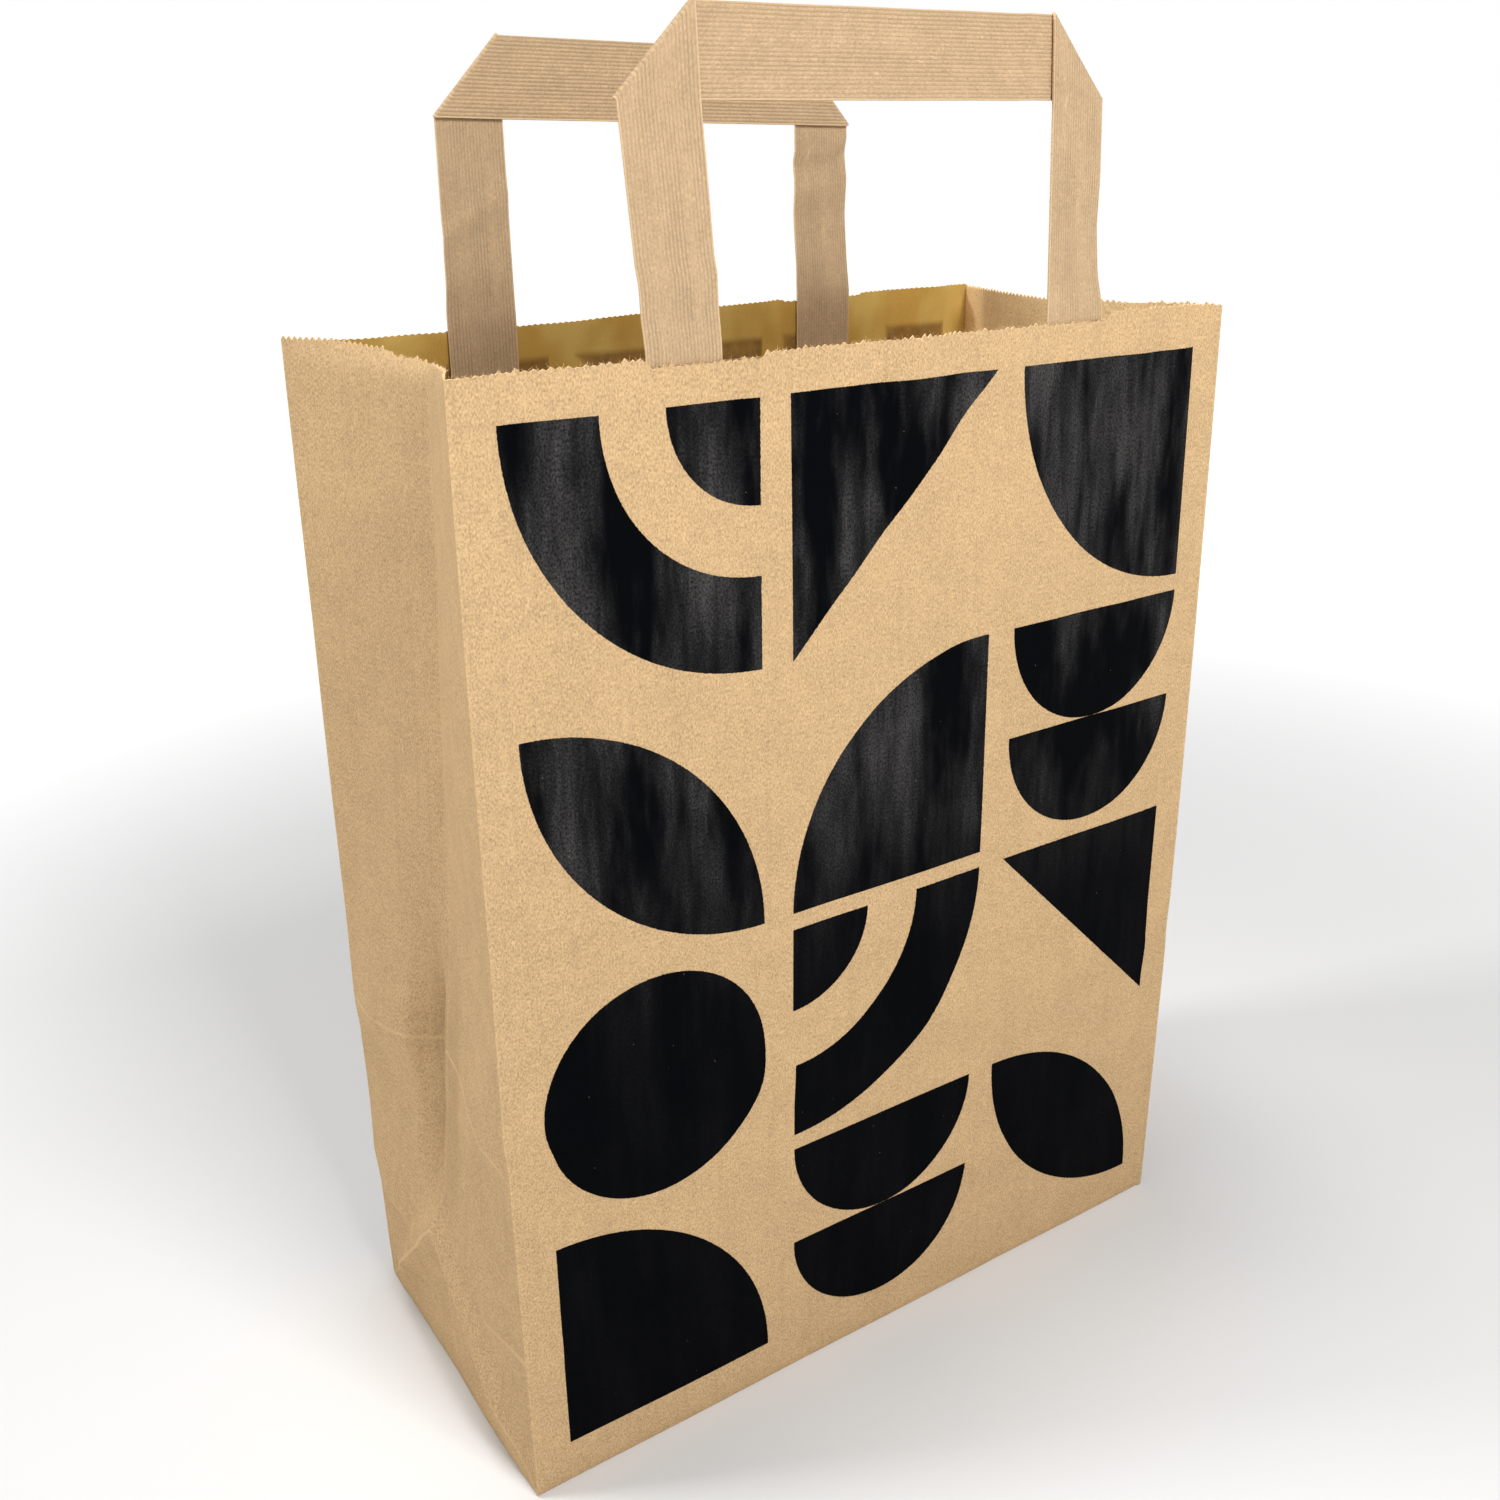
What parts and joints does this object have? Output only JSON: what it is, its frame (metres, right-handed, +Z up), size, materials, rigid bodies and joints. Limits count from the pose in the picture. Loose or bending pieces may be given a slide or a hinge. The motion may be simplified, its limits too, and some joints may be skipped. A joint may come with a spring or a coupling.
{
  "type": "paper carrier bag",
  "caption": "Open-topped brown kraft paper bag with gusseted sides, a folded block bottom and flat folded strap handles.",
  "frame": {"origin": "middle of the underside, on the outer face of the lapped bottom flap", "axes": "+Z up through the mouth, +X along the width of the printed front panel, -Y out of the front panel"},
  "size_m": [0.2217, 0.1083, 0.3479],
  "materials": {
    "kraft_paper": "uncoated brown kraft paper, matt, with a matt black print on both faces",
    "ribbed_strap": "ribbed brown kraft, several plies glued flat",
    "kraft_patch": "uncoated brown kraft paper, matt"
  },
  "bodies": {
    "root": {"bag": "kraft_paper", "front_handle": "ribbed_strap", "back_handle": "ribbed_strap", "front_handle_patch": "kraft_patch", "back_handle_patch": "kraft_patch"}
  },
  "joints": []
}
